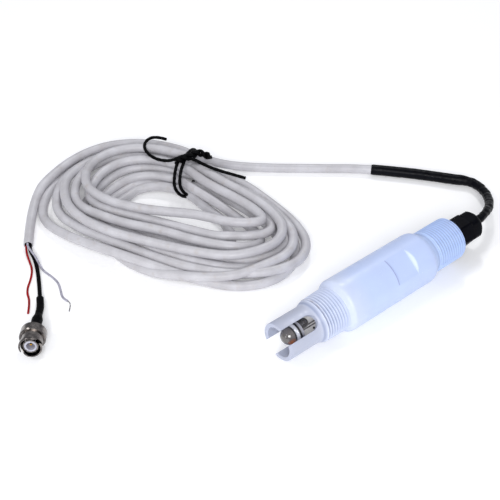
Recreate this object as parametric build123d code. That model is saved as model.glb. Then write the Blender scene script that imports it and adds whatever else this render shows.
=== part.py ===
from build123d import *
from math import cos, radians, sin, sqrt, tan
import os

os.makedirs("parts", exist_ok=True)

# Frame: the probe lies on Z = 0 with its axis along +X, from the sensing tip to the cable.
# The origin is under the middle of the probe, from the guard's tip to the gland nut's end.

# Housing, outside, from the tip to the rear
guard_len = 21.0
front_thread_len = 16.2
front_cone_len = 3.4
main_len = 68.9
rear_cone_len = 4.5
rear_thread_len = 19.8
guard_d = 22.5
guard_wall = 2.5
front_thread_d = 26.67
thread_taper = 1 / 16
front_thread_chamfer = 1.5
main_step = 2.65
shoulder_round = 2.0
rear_thread_d = 26.2
rear_thread_chamfer = 0.8
tip_chamfer = 0.5

# Slots of the guard and the wrench flats, all turned about the axis by the same roll
roll_deg = 34.7
slot_w = 9.0
slot_len = 20.4
flat_depth = 2.15
flat_len = 16.2
flat_from_shoulder = 35.6

# Housing, inside
guard_bore_len = 24.0
cavity_d = 19.6
cavity_past_stopper = 2.0
mouth_len = 10.8
seat_gap = 0.05

# Glass electrode: a bulb on an inner tube, joined to an outer tube by a ring seal
stem_d = 12.0
stem_wall = 1.0
stem_fit = 0.1
stem_from_tip = 9.6
stem_len = 71.4
ring_seal = 1.4
ring_seal_round = 0.7
bulb_d = 9.8
bulb_wall = 0.4
bulb_from_tip = 2.9
inner_tube_d = 6.0
inner_tube_wall = 0.6
inner_tube_short = 6.0
frit_d = 1.2
frit_from_tip = 20.9
frit_deg = 37.0

# Inner pieces
wire_d = 0.7
reference_wire_start = 4.6
reference_wire_r = 4.0
reference_wire_deg = 20.0
wire_past_stopper = 0.6
stopper_flange_len = 2.0
o_ring_d = 1.7
o_ring_room = 0.7
o_ring_places = (29.0, 34.5)
sensor_d = 3.0
sensor_len = 12.0
sensor_fit = 0.1
sensor_from_tip = 38.5
sensor_r = 8.0
sensor_deg = 180.0
lead_d = 0.9
lead_pitch = 1.3
lead_end_r = 1.75
lead_end_deg = 26.0
lead_leaves_wall = 10.0
lead_gathers = 14.0
inner_coax_d = 2.4
potting_len = 10.0

# Cable gland
gland_base_len = 11.4
gland_base_corner_d = 19.7
gland_base_flats = 17.6
gland_spigot_len = 8.0
gland_spigot_d = 15.8
gland_collar_len = 6.8
gland_collar_d = 14.8
gland_bore_d = 4.8
nut_len = 14.7
nut_d = 18.2
nut_rear_d = 16.8
nut_flats = 17.0
nut_hex_len = 8.0
nut_dome_r = 5.6
nut_gap = 0.1
seal_d = 10.0
seal_bore_d = 4.3
seal_front = 6.0
seal_rear = 0.5
entry_d = 4.2
entry_front = 2.2

# Cable, its shrunk sleeve and its cores
cable_d = 5.9
sleeve_d = 7.1
sleeve_thin_d = 5.5
red_wire_d = 1.0
white_wire_d = 1.0
strand_d = 0.5
coax_d = 2.4
floor_gap = 0.05

# Coaxial plug, measured back from the front rim of its coupling nut
plug_place = (-181.6, 84.8)
plug_turn = 233.2
plug_tilt = 10.5
coupling_len = 14.2
coupling_d = 12.2
coupling_rim_d = 12.8
coupling_rim_len = 1.4
knurl_d = 14.5
knurl_len = 6.2
coupling_bore_d = 11.2
coupling_rear_bore_d = 10.9
coupling_bore_len = 9.0
lip_len = 1.2
bayonet_w = 2.3
bayonet_rise = 4.6
bayonet_turn = 80.0
bayonet_hole_d = 2.8
flange_d = 10.6
flange_place = 9.6
flange_len = 1.4
barrel_d = 8.2
barrel_len = 5.0
sleeve_contact_d = 8.2
sleeve_contact_back = 1.3
contact_slit_w = 0.5
contact_slit_len = 5.0
insulator_d = 6.8
insulator_bore_d = 4.8
insulator_bore_len = 5.4
insulator_len = 10.4
pin_d = 1.36
pin_back = 2.6
pin_len = 10.4
gasket_len = 0.6
spring_len = 0.7
spring_thick = 0.25
thrust_len = 0.35
run_gap = 0.1
coupling_travel = 0.8
neck_d = 6.0
neck_len = 3.0
crimp_spigot_d = 4.4
crimp_spigot_len = 6.0
ferrule_d = 5.6
ferrule_len = 7.0
boot_straight = 31.0
boot_bend = 38.0
boot_d = 4.3
boot_front_d = 6.2
boot_lip = 0.4
boot_flare = 4.0

# Routes on the table. Each is a list of points chosen along the cord, end to end.
sleeve_bend_route = [
    (90.0, 0.0, 15.75), (103.5, 9.5, 10.0), (115.0, 23.5, 5.8), (118.0, 36.5, 4.2),
    (110.4, 47.6, 3.9),
]
sleeve_straight_route = [
    (110.4, 47.6, 3.9), (103.6, 57.5, 3.65), (91.3, 73.0, 3.6), (77.1, 88.6, 3.6),
]
lead_route = [
    (77.1, 88.6, 3.6), (66.7, 100.0, 3.6), (44.0, 118.6, 3.0), (24.0, 135.3, 3.0),
    (6.5, 150.5, 4.5), (-9.5, 161.5, 8.0),
]
tail_route = [
    (-100.5, 207.5, 8.0), (-111.5, 202.0, 5.5), (-121.8, 190.2, 3.4), (-131.0, 177.0, 3.0),
    (-138.0, 166.2, 3.0),
]
red_route = [
    (-139.1, 166.9, 2.4), (-141.3, 163.5, 2.2), (-143.6, 156.5, 0.9), (-145.6, 148.8, 0.6),
    (-150.0, 142.0, 0.55), (-158.0, 133.8, 0.55), (-160.6, 124.8, 0.55), (-166.2, 117.2, 0.55),
]
white_route = [
    (-138.2, 166.3, 4.4), (-139.6, 164.1, 4.4), (-139.9, 159.4, 4.2), (-140.3, 153.0, 3.9),
    (-141.0, 147.4, 0.8), (-141.5, 142.5, 0.55), (-140.1, 134.5, 0.55), (-139.9, 128.0, 0.55),
    (-142.4, 121.2, 0.55), (-144.8, 115.2, 0.55), (-143.6, 111.6, 0.6),
]
strand_route = [
    (-143.6, 111.6, 0.6), (-143.0, 109.7, 0.5), (-144.9, 106.6, 0.35), (-147.2, 104.0, 0.3),
]
coax_route = [
    (-137.3, 165.7, 2.6), (-139.4, 162.4, 2.4), (-140.4, 154.8, 1.4), (-144.2, 144.6, 1.3),
    (-147.8, 137.0, 1.3), (-151.8, 129.0, 1.6),
]

# Outer and inner outline of the tied coil, as corners that are rounded off, and its height
coil_outline = [
    (4.0, 150.0), (3.0, 60.0), (-22.0, 41.0), (-60.0, 48.0), (-100.0, 98.0), (-116.0, 145.0),
    (-122.0, 190.0), (-92.0, 216.0), (-58.0, 221.0), (-26.0, 205.0), (-8.0, 176.0),
]
coil_hole = [
    (-33.0, 148.0), (-35.0, 96.0), (-48.0, 96.0), (-66.0, 128.0), (-74.0, 163.0),
    (-60.0, 170.0), (-44.0, 163.0),
]
coil_height = 15.0
coil_round = 4.0

# Twist tie round the coil's bundle
tie_place = (-24.4, 161.7)
tie_turn = 42.0
tie_d = 1.5
tie_half_span = 20.5
tie_height = 16.5
tie_corner = 5.0
tie_pitch = 3.5
tie_tail = [(-20.2, 164.2, 18.6), (-16.8, 147.6, 17.8), (-8.5, 136.5, 15.9), (-1.5, 124.5, 15.8)]
tie_hook = [
    (-21.0, 163.6, 18.6), (-33.6, 165.6, 18.2), (-40.2, 175.6, 17.8), (-39.0, 188.2, 17.3),
    (-31.4, 198.0, 16.9), (-20.8, 191.0, 16.7),
]
tie_knot_d = 5.6
tie_knot_len = 12.0
tie_knot_place = 5.0

# Places that follow from the sizes
housing_len = (guard_len + front_thread_len + front_cone_len + main_len + rear_cone_len
               + rear_thread_len)
probe_len = housing_len + gland_base_len + nut_gap + nut_len
x_tip = -probe_len / 2
x_thread = x_tip + guard_len
x_shoulder = x_thread + front_thread_len
x_main = x_shoulder + front_cone_len
x_main_end = x_main + main_len
x_rear_thread = x_main_end + rear_cone_len
x_rear = x_rear_thread + rear_thread_len
x_base_end = x_rear + gland_base_len
x_nut = x_base_end + nut_gap
x_exit = x_nut + nut_len
main_d = rear_thread_d + 2 * main_step
axis_z = main_d / 2
x_guard_bore = x_tip + guard_bore_len
x_mouth = x_rear - mouth_len
stem_bore_r = stem_d / 2 + stem_fit
x_stem = x_tip + stem_from_tip
x_stem_end = x_stem + stem_len
x_cavity = x_stem_end + stopper_flange_len + cavity_past_stopper


def turned(points):
    """A solid of revolution about the X axis from (x, radius) corners."""
    return revolve(make_face(Polyline(*points, close=True)), Axis.X, 360)


def tube(x0, x1, r_out, r_in=0.0):
    return turned([(x0, r_in), (x1, r_in), (x1, r_out), (x0, r_out)])


def hexagon(x0, x1, flats):
    """A six-sided bar along X with a flat upwards."""
    side = flats / sqrt(3)
    outline = Plane.YZ.offset(x0) * RegularPolygon(radius=side, side_count=6, rotation=0)
    return extrude(outline, amount=x1 - x0)


def off_axis(x0, x1, r, radius, angle):
    """A bar along X whose centre stands off the axis at an angle from the slot's direction."""
    turn = radians(angle)
    bar = Pos(0, -radius * sin(turn), radius * cos(turn)) * tube(x0, x1, r)
    return bar


def in_probe(shape):
    """Turns a piece by the roll and lifts it to the probe's axis."""
    return Pos(0, 0, axis_z) * Rot(roll_deg, 0, 0) * shape


def corner_radii(points):
    radii = []
    for before, here, after in zip(points, points[1:], points[2:]):
        first = Vector(*here) - Vector(*before)
        second = Vector(*after) - Vector(*here)
        half_turn = radians(first.get_angle(second)) / 2
        radii.append(0.45 * min(first.length, second.length) / tan(half_turn))
    return radii


def cord(name, points, diameter, bore=0.0):
    """A round tube along straight runs joined by tangent arcs."""
    radii = corner_radii(points)
    path = FilletPolyline(*points, radius=radii)
    section = Circle(diameter / 2)
    if bore:
        section -= Circle(bore / 2)
    solid = sweep(Plane(path @ 0, z_dir=path % 0) * section, path=path)
    print(name, "arc radii", [round(r, 1) for r in radii], "length", round(path.length, 1))
    return solid


def save(name, shape):
    shape.label = name
    export_step(shape, f"parts/{name}.step")


# Housing
def housing():
    small_end_r = (front_thread_d - front_thread_len * thread_taper) / 2
    bore_r = guard_d / 2 - guard_wall
    outer = [
        (x_tip, guard_d / 2), (x_thread, guard_d / 2),
        (x_thread + front_thread_chamfer, small_end_r), (x_shoulder, front_thread_d / 2),
        (x_main, main_d / 2), (x_main_end, main_d / 2), (x_rear_thread, rear_thread_d / 2),
        (x_rear - rear_thread_chamfer, rear_thread_d / 2),
        (x_rear, rear_thread_d / 2 - rear_thread_chamfer),
    ]
    profile = make_face(Polyline((x_tip, 0), *outer, (x_rear, 0), close=True))
    rounded = [v for v in profile.vertices()
               if abs(v.Y - main_d / 2) < 1e-6]
    profile = fillet(rounded, shoulder_round)
    body = revolve(profile, Axis.X, 360)
    bore = turned([
        (x_tip, 0), (x_tip, bore_r + tip_chamfer), (x_tip + tip_chamfer, bore_r),
        (x_guard_bore, bore_r), (x_guard_bore, stem_bore_r), (x_cavity, stem_bore_r),
        (x_cavity, cavity_d / 2), (x_mouth, cavity_d / 2),
        (x_mouth, gland_spigot_d / 2 + seat_gap), (x_rear, gland_spigot_d / 2 + seat_gap),
        (x_rear, 0),
    ])
    body -= bore
    slot_round = slot_w / 2
    slot = Box(slot_len - slot_round, slot_w, main_d, align=(Align.MIN, Align.CENTER, Align.CENTER))
    slot += Pos(slot_len - slot_round, 0, 0) * Cylinder(slot_round, main_d)
    body -= Pos(x_tip, 0, 0) * slot
    for side in (1, -1):
        cutter = Box(flat_len, main_d, 2 * flat_depth)
        x_flat = x_main + flat_from_shoulder + flat_len / 2
        body -= Pos(x_flat, 0, side * main_d / 2) * cutter
    groove_len = o_ring_d + o_ring_room
    groove_r = stem_d / 2 + o_ring_d + 2 * seat_gap
    for place in o_ring_places:
        body -= tube(x_tip + place - groove_len / 2, x_tip + place + groove_len / 2, groove_r)
    well_r = sensor_d / 2 + sensor_fit
    body -= off_axis(x_tip + sensor_from_tip - seat_gap, x_cavity, well_r, sensor_r, sensor_deg)
    return body


# Glass electrode and what it holds
def glass_electrode():
    outer_r = stem_d / 2
    ball_r = bulb_d / 2
    hollow_r = ball_r - bulb_wall
    tube_r = inner_tube_d / 2
    bore_r = tube_r - inner_tube_wall
    x_ball = x_tip + bulb_from_tip + ball_r
    x_seal_back = x_stem + ring_seal
    seal_r = sqrt(ball_r ** 2 - (x_stem - x_ball) ** 2)
    x_bore = x_ball + sqrt(hollow_r ** 2 - bore_r ** 2)
    x_inner_end = x_stem_end - inner_tube_short
    shoulder = (x_stem + ring_seal_round, outer_r)
    lines = [
        ThreePointArc((x_ball - ball_r, 0), (x_ball - ball_r * cos(0.9), ball_r * sin(0.9)),
                      (x_stem, seal_r)),
        Line((x_stem, seal_r), (x_stem, outer_r - ring_seal_round)),
        ThreePointArc((x_stem, outer_r - ring_seal_round),
                      (x_stem + ring_seal_round * (1 - cos(radians(45))),
                       outer_r - ring_seal_round * (1 - sin(radians(45)))), shoulder),
        Polyline(shoulder, (x_stem_end, outer_r), (x_stem_end, outer_r - stem_wall),
                 (x_seal_back, outer_r - stem_wall), (x_seal_back, tube_r),
                 (x_inner_end, tube_r), (x_inner_end, bore_r), (x_bore, bore_r)),
        ThreePointArc((x_bore, bore_r), (x_ball + hollow_r * cos(1.8), hollow_r * sin(1.8)),
                      (x_ball - hollow_r, 0)),
        Line((x_ball - hollow_r, 0), (x_ball - ball_r, 0)),
    ]
    glass = revolve(make_face(lines), Axis.X, 360)
    return glass - frit_plug(frit_d / 2 + seat_gap / 2)


def frit_plug(radius):
    """The ceramic junction, set through the outer tube's wall."""
    plug = Pos(x_tip + frit_from_tip, 0, (stem_d - stem_wall) / 2) * Cylinder(radius, 2 * stem_wall)
    wall = tube(x_stem + ring_seal, x_stem_end, stem_d / 2, stem_d / 2 - stem_wall)
    return Rot(frit_deg, 0, 0) * (plug & wall)


def stopper_end():
    return x_stem_end + stopper_flange_len


def sensing_wire():
    x_ball = x_tip + bulb_from_tip + bulb_d / 2
    return tube(x_ball, stopper_end() + wire_past_stopper, wire_d / 2)


def reference_wire():
    return off_axis(x_stem + reference_wire_start, stopper_end() + wire_past_stopper, wire_d / 2,
                    reference_wire_r, reference_wire_deg)


def stem_stopper():
    """A rubber plug in the rear of both glass tubes, with a hole for each wire."""
    x_face = x_stem_end - inner_tube_short + seat_gap
    plug = tube(x_face, x_stem_end, stem_d / 2 - stem_wall - seat_gap)
    plug += tube(x_stem_end, x_stem_end + stopper_flange_len, stem_d / 2)
    hole_r = wire_d / 2 + seat_gap
    plug -= tube(x_face, x_stem_end + stopper_flange_len, hole_r)
    plug -= off_axis(x_face, x_stem_end + stopper_flange_len, hole_r, reference_wire_r,
                     reference_wire_deg)
    return plug


def o_ring(place):
    middle = stem_d / 2 + seat_gap + o_ring_d / 2
    ring = Pos(x_tip + place, 0, 0) * Rot(0, 90, 0) * Torus(middle, o_ring_d / 2)
    return ring


def temperature_sensor():
    x_start = x_tip + sensor_from_tip
    return off_axis(x_start, x_start + sensor_len - seat_gap, sensor_d / 2, sensor_r, sensor_deg)


def lead_start(side):
    """Where a lead of the temperature element leaves it, across and up from the axis."""
    turn = radians(sensor_deg)
    across = side * lead_pitch / 2
    return (-sensor_r * sin(turn) - across * cos(turn), sensor_r * cos(turn) - across * sin(turn))


def sensor_lead(side):
    """A lead that leaves its well, crosses the cavity and joins the others in the gland."""
    turn = radians(sensor_deg + side * lead_end_deg)
    start = lead_start(side)
    end = (-lead_end_r * sin(turn), lead_end_r * cos(turn))
    points = [
        (x_tip + sensor_from_tip + sensor_len, *start),
        (x_cavity + potting_len + lead_leaves_wall, *start),
        (x_rear - lead_gathers, *end),
        (x_rear + entry_front - seat_gap, *end),
    ]
    return cord("sensor lead", points, lead_d)


def internal_coax():
    x_start = stopper_end() + wire_past_stopper + seat_gap
    return tube(x_start, x_rear + entry_front - seat_gap, inner_coax_d / 2)


def rear_potting():
    """Cast resin that closes the cavity behind the glass, moulded round what passes it."""
    x_start = x_cavity + seat_gap
    x_end = x_cavity + potting_len
    block = tube(x_start, x_end, cavity_d / 2 - seat_gap, inner_coax_d / 2 + seat_gap)
    for side in (-1, 1):
        block -= Pos(0, *lead_start(side)) * tube(x_start, x_end, lead_d / 2 + seat_gap)
    return block


# Gland
def gland_body():
    body = tube(x_rear - gland_spigot_len, x_rear, gland_spigot_d / 2)
    base = tube(x_rear, x_base_end, gland_base_corner_d / 2)
    body += base & hexagon(x_rear, x_base_end, gland_base_flats)
    body += tube(x_base_end, x_base_end + gland_collar_len, gland_collar_d / 2)
    x_seal = x_base_end - seal_front - seat_gap
    body -= tube(x_rear - gland_spigot_len, x_seal, gland_bore_d / 2)
    body -= tube(x_seal, x_base_end + gland_collar_len, seal_d / 2 + seat_gap)
    return body


def gland_seal():
    return tube(x_base_end - seal_front, x_base_end + gland_collar_len + seal_rear,
                seal_d / 2, seal_bore_d / 2)


def cable_entry():
    return tube(x_rear + entry_front, x_exit, entry_d / 2)


def gland_nut():
    profile = make_face(Polyline((x_nut, 0), (x_nut, nut_rear_d / 2), (x_exit, nut_rear_d / 2),
                                 (x_exit, 0), close=True))
    rear_corner = [v for v in profile.vertices() if abs(v.X - x_exit) < 1e-6 and v.Y > 1]
    nut = revolve(fillet(rear_corner, nut_dome_r), Axis.X, 360)
    grip = tube(x_nut, x_nut + nut_hex_len, nut_d / 2)
    nut += grip & hexagon(x_nut, x_nut + nut_hex_len, nut_flats)
    x_shelf = x_base_end + gland_collar_len + seal_rear + seat_gap
    nut -= tube(x_nut, x_shelf, gland_collar_d / 2 + seat_gap)
    nut -= tube(x_shelf, x_exit, gland_bore_d / 2)
    return nut


# Coaxial plug, built with its front rim at X = 0 and its rear towards -X
def plug_frame():
    """The plug lies on its knurl's rear edge with its front raised."""
    tilt = radians(plug_tilt)
    turn = radians(plug_turn)
    front_z = knurl_d / 2 * cos(tilt) + coupling_len * sin(tilt) + floor_gap
    ahead = (cos(tilt) * cos(turn), cos(tilt) * sin(turn), sin(tilt))
    upward = (-sin(tilt) * cos(turn), -sin(tilt) * sin(turn), cos(tilt))
    return Plane(origin=(*plug_place, front_z), x_dir=ahead, z_dir=upward)


def coupling_nut():
    rear = -coupling_len
    nut = turned([
        (0, 0), (0, coupling_rim_d / 2 - 0.3), (-0.3, coupling_rim_d / 2),
        (-coupling_rim_len, coupling_rim_d / 2), (-coupling_rim_len - 0.4, coupling_d / 2),
        (rear + knurl_len, coupling_d / 2), (rear + knurl_len, knurl_d / 2 - 0.5),
        (rear + knurl_len - 0.5, knurl_d / 2), (rear + 0.5, knurl_d / 2),
        (rear, knurl_d / 2 - 0.5), (rear, 0),
    ])
    nut -= tube(-coupling_bore_len, 0, coupling_bore_d / 2)
    nut -= tube(rear + lip_len, -coupling_bore_len, coupling_rear_bore_d / 2)
    nut -= tube(rear, rear + lip_len, barrel_d / 2 + run_gap)
    for start in (0, 180):
        nut -= Rot(start, 0, 0) * bayonet_slot()
    return nut


def bayonet_slot():
    """A helical slot through the front wall that starts at the rim and ends in a round hole."""
    wall_r = (coupling_bore_d + coupling_d) / 4
    depth = coupling_rim_d - coupling_bore_d
    rise = bayonet_rise + bayonet_w
    turn = bayonet_turn * rise / bayonet_rise
    helix = Helix(rise * 360 / turn, rise, wall_r)
    section = Plane(helix @ 0, x_dir=(1, 0, 0), z_dir=helix % 0) * Rectangle(depth, bayonet_w)
    slot = sweep(section, path=helix, is_frenet=True)
    hole = Cylinder(bayonet_hole_d / 2, depth)
    slot += Rot(0, 0, turn) * Pos(wall_r, 0, rise) * Rot(0, 90, 0) * hole
    return Pos(bayonet_w, 0, 0) * Rot(0, -90, 0) * slot


def plug_body():
    front = -sleeve_contact_back
    flange_front = -flange_place
    flange_rear = flange_front - flange_len
    barrel_rear = flange_rear - barrel_len
    neck_rear = barrel_rear - neck_len
    bore_r = insulator_d / 2 + seat_gap
    insulator_rear = front - insulator_len - seat_gap
    spigot_rear = neck_rear - crimp_spigot_len
    body = turned([
        (front, 0), (front, sleeve_contact_d / 2), (flange_front, sleeve_contact_d / 2),
        (flange_front, flange_d / 2), (flange_rear, flange_d / 2), (flange_rear, barrel_d / 2),
        (barrel_rear, barrel_d / 2), (barrel_rear, neck_d / 2), (neck_rear, neck_d / 2),
        (neck_rear, crimp_spigot_d / 2), (spigot_rear, crimp_spigot_d / 2), (spigot_rear, 0),
    ])
    body -= tube(insulator_rear, front, bore_r)
    body -= tube(spigot_rear, insulator_rear, coax_d / 2 + seat_gap)
    slit = Box(contact_slit_len, 2 * sleeve_contact_d, contact_slit_w,
               align=(Align.MAX, Align.CENTER, Align.CENTER))
    for turn in (45, 135):
        body -= Rot(turn, 0, 0) * Pos(front, 0, 0) * slit
    return body


def plug_insulator():
    front = -sleeve_contact_back
    rear = front - insulator_len
    block = tube(rear, front, insulator_d / 2, pin_d / 2 + seat_gap)
    return block - tube(front - insulator_bore_len, front, insulator_bore_d / 2)


def centre_pin():
    rear = -pin_back - pin_len
    pin = tube(rear, -pin_back, pin_d / 2)
    nose = pin.edges().filter_by(GeomType.CIRCLE).sort_by(Axis.X)[-1]
    return fillet(nose, pin_d / 2 * 0.8)


def plug_gasket():
    rear = -flange_place + seat_gap
    return tube(rear, rear + gasket_len, flange_d / 2 - run_gap, sleeve_contact_d / 2 + seat_gap)


def spring_washer():
    front = -flange_place - flange_len - seat_gap
    outer_r = flange_d / 2 - run_gap
    inner_r = barrel_d / 2 + seat_gap
    return turned([
        (front, outer_r), (front - spring_thick, outer_r), (front - spring_len, inner_r),
        (front - spring_len + spring_thick, inner_r),
    ])


def thrust_ring():
    rear = -coupling_len + lip_len
    return tube(rear + seat_gap, rear + seat_gap + thrust_len, coupling_rear_bore_d / 2 - run_gap,
                barrel_d / 2 + run_gap)


def plug_neck_rear():
    return -flange_place - flange_len - barrel_len - neck_len


def crimp_ferrule():
    front = plug_neck_rear() - seat_gap
    return tube(front - ferrule_len, front, ferrule_d / 2, crimp_spigot_d / 2 + seat_gap)


def boot_points():
    """The boot's line from its rear end, through its one bend, to its straight front."""
    place = plug_frame()
    straight = place.from_local_coords(Vector(-boot_straight, 0, 0))
    bend = place.from_local_coords(Vector(-boot_bend, 0, 0))
    rear = (Vector(*coax_route[-1]) + bend) / 2
    return [tuple(rear), tuple(bend), tuple(straight)]


def plug_boot():
    """The straight front over the ferrule, built with the plug, and the bent rear."""
    neck_rear = plug_neck_rear()
    front = neck_rear + neck_len - seat_gap
    ferrule_rear = neck_rear - seat_gap - ferrule_len - seat_gap
    bore_r = coax_d / 2 + seat_gap
    boot = turned([
        (front, 0), (front, boot_front_d / 2 + boot_lip), (neck_rear, boot_front_d / 2),
        (ferrule_rear, boot_front_d / 2), (ferrule_rear - boot_flare, boot_d / 2),
        (-boot_straight, boot_d / 2), (-boot_straight, 0),
    ])
    boot -= tube(neck_rear, front, neck_d / 2 + seat_gap)
    boot -= tube(ferrule_rear, neck_rear, ferrule_d / 2 + seat_gap)
    boot -= tube(-boot_straight, ferrule_rear, bore_r)
    return plug_frame().location * boot + cord("boot", boot_points(), boot_d, 2 * bore_r)


# Cords
def sleeve():
    """Thin where it follows the cores round the bend, thick where it covers the jacket."""
    start = (x_exit, 0, axis_z)
    thin = cord("sleeve, thin", [start] + sleeve_bend_route, sleeve_thin_d)
    thick = cord("sleeve, thick", sleeve_straight_route, sleeve_d)
    return thin + thick


def coax_lead():
    """The coaxial core from the jacket's end, through the boot and into the plug."""
    boot_line = boot_points()
    outside = cord("coax", coax_route + boot_line[:1], coax_d)
    in_boot = cord("coax in boot", boot_line, coax_d)
    in_plug = tube(-boot_straight, -pin_back - pin_len - seat_gap, coax_d / 2)
    return outside + in_boot + plug_frame().location * in_plug


def coil():
    outline = closed_face(coil_outline)
    hole = closed_face(coil_hole)
    ring = extrude(outline - hole, amount=coil_height)
    top = ring.faces().sort_by(Axis.Z)[-1]
    return chamfer(top.edges(), coil_round)


def closed_face(points):
    return make_face(FilletPolyline(*points, radius=coil_corner_radii(points), close=True))


def coil_corner_radii(points):
    ring = [points[-1]] + points + [points[0]]
    return corner_radii([(x, y, 0) for x, y in ring])


def twist_tie():
    """Two wraps round the bundle, a twisted knot on top and its two loose ends."""
    low = tie_d / 2 + floor_gap
    inner = tie_half_span - tie_corner
    corners = [
        (inner, low), (tie_half_span, low + tie_corner), (tie_half_span, tie_height - tie_corner),
        (inner, tie_height),
    ]
    corners += [(-x, z) for x, z in reversed(corners)]
    place = Pos(*tie_place, 0) * Rot(0, 0, tie_turn)
    tie = place * knot()
    for side in (-1, 1):
        plane = Plane.XZ.offset(side * tie_pitch / 2)
        path = plane * Polyline(*corners, close=True)
        start = path.edges()[0]
        section = Plane(start @ 0, z_dir=start % 0) * Circle(tie_d / 2)
        tie += place * sweep(section, path=path, transition=Transition.RIGHT)
    tie += cord("tie, straight end", tie_tail, tie_d)
    tie += cord("tie, hooked end", tie_hook, tie_d)
    return tie


def knot():
    bar_len = tie_knot_len - tie_knot_d
    bar = Cylinder(tie_knot_d / 2, bar_len)
    for side in (-1, 1):
        bar += Pos(0, 0, side * bar_len / 2) * Sphere(tie_knot_d / 2)
    return Pos(tie_knot_place, 0, tie_height) * Rot(0, 90, 0) * bar


def main():
    probe = {
        "housing": housing(),
        "glass_electrode": glass_electrode(),
        "junction_frit": frit_plug(frit_d / 2),
        "sensing_wire": sensing_wire(),
        "reference_wire": reference_wire(),
        "stem_stopper": stem_stopper(),
        "o_ring_front": o_ring(o_ring_places[0]),
        "o_ring_rear": o_ring(o_ring_places[1]),
        "temperature_sensor": temperature_sensor(),
        "sensor_lead_red": sensor_lead(-1),
        "sensor_lead_white": sensor_lead(1),
        "internal_coax": internal_coax(),
        "rear_potting": rear_potting(),
    }
    for name, shape in probe.items():
        save(name, in_probe(shape))
    gland = {
        "gland_body": gland_body(),
        "gland_seal": gland_seal(),
        "gland_nut": gland_nut(),
        "cable_entry": cable_entry(),
    }
    for name, shape in gland.items():
        save(name, Pos(0, 0, axis_z) * shape)
    plug = {
        "plug_body": plug_body(),
        "plug_insulator": plug_insulator(),
        "centre_pin": centre_pin(),
        "plug_gasket": plug_gasket(),
        "spring_washer": spring_washer(),
        "thrust_ring": thrust_ring(),
        "coupling_nut": coupling_nut(),
        "crimp_ferrule": crimp_ferrule(),
    }
    place = plug_frame().location
    for name, shape in plug.items():
        save(name, place * shape)
    save("plug_boot", plug_boot())
    save("sleeve", sleeve())
    save("cable_lead", cord("cable lead", lead_route, cable_d))
    save("cable_coil", coil())
    save("cable_tail", cord("cable tail", tail_route, cable_d))
    save("coax_lead", coax_lead())
    save("red_wire", cord("red wire", red_route, red_wire_d))
    save("white_wire", cord("white wire", white_route, white_wire_d))
    save("white_wire_strands", cord("strands", strand_route, strand_d))
    save("twist_tie", twist_tie())


main()
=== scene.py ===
from math import cos, pi, radians, sin

import bmesh
import bpy
from mathutils import Matrix, Vector, noise


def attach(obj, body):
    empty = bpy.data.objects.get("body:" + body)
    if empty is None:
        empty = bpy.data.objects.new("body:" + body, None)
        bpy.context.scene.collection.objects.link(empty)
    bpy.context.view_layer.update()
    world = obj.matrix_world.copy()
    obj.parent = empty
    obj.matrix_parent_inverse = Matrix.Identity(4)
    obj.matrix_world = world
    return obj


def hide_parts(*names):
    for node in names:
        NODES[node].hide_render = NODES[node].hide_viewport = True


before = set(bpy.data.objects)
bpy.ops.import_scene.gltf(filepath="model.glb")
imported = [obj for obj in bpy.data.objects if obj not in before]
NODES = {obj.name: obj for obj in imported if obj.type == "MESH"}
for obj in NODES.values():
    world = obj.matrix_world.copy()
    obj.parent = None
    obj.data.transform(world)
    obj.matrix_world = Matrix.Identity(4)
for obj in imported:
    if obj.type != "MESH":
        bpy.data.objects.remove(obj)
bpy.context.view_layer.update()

MM = 0.001
BODY = "probe_and_cable"

# The cords' routes in millimetres, close to the solids' where they aren't coiled
SLEEVE_BEND = [
    (76.0, 0.0, 15.75), (83.0, 0.6, 15.7), (91.5, 3.2, 14.6), (103.8, 10.0, 10.2),
    (115.0, 22.5, 5.9), (119.0, 36.5, 4.3), (110.4, 47.6, 3.9),
]
SLEEVE_STRAIGHT = [(110.4, 47.6, 3.9), (103.6, 57.5, 3.65), (91.3, 73.0, 3.6), (77.1, 88.6, 3.6)]
LEAD = [
    (66.7, 98.8, 3.4), (57.0, 107.2, 3.0), (44.0, 118.2, 3.0), (26.0, 133.3, 3.0),
    (10.5, 147.5, 3.4), (0.0, 154.8, 6.6), (-8.5, 160.5, 11.4),
]
TAIL = [
    (-101.5, 208.2, 8.6), (-111.0, 202.6, 5.3), (-121.8, 190.4, 3.3), (-131.4, 176.6, 3.0),
    (-138.0, 166.2, 3.0),
]
RED = [
    (-139.1, 166.9, 2.4), (-141.3, 163.5, 2.2), (-143.6, 156.5, 0.9), (-145.6, 148.8, 0.6),
    (-150.0, 142.0, 0.55), (-158.0, 133.8, 0.55), (-160.6, 124.8, 0.55), (-166.2, 117.2, 0.55),
]
WHITE = [
    (-138.2, 166.3, 4.4), (-139.6, 164.1, 4.4), (-139.9, 159.4, 4.2), (-140.3, 153.0, 3.9),
    (-141.0, 147.4, 0.8), (-141.5, 142.5, 0.55), (-140.1, 134.5, 0.55), (-139.9, 128.0, 0.55),
    (-142.4, 121.2, 0.55), (-144.8, 115.2, 0.55), (-143.6, 111.6, 0.6),
]
STRANDS = [(-143.6, 111.6, 0.6), (-143.0, 109.7, 0.5), (-144.9, 106.6, 0.35), (-147.2, 104.0, 0.3)]
COAX = [
    (-137.3, 165.7, 2.6), (-139.4, 162.4, 2.4), (-140.4, 154.8, 1.4), (-144.2, 144.6, 1.3),
    (-147.8, 137.0, 1.3), (-151.8, 129.0, 1.6), (-155.5, 121.9, 2.2),
]
CABLE_D = 5.9
CORE_D = 4.1
COAX_D = 2.4
WIRE_D = 1.3

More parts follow.
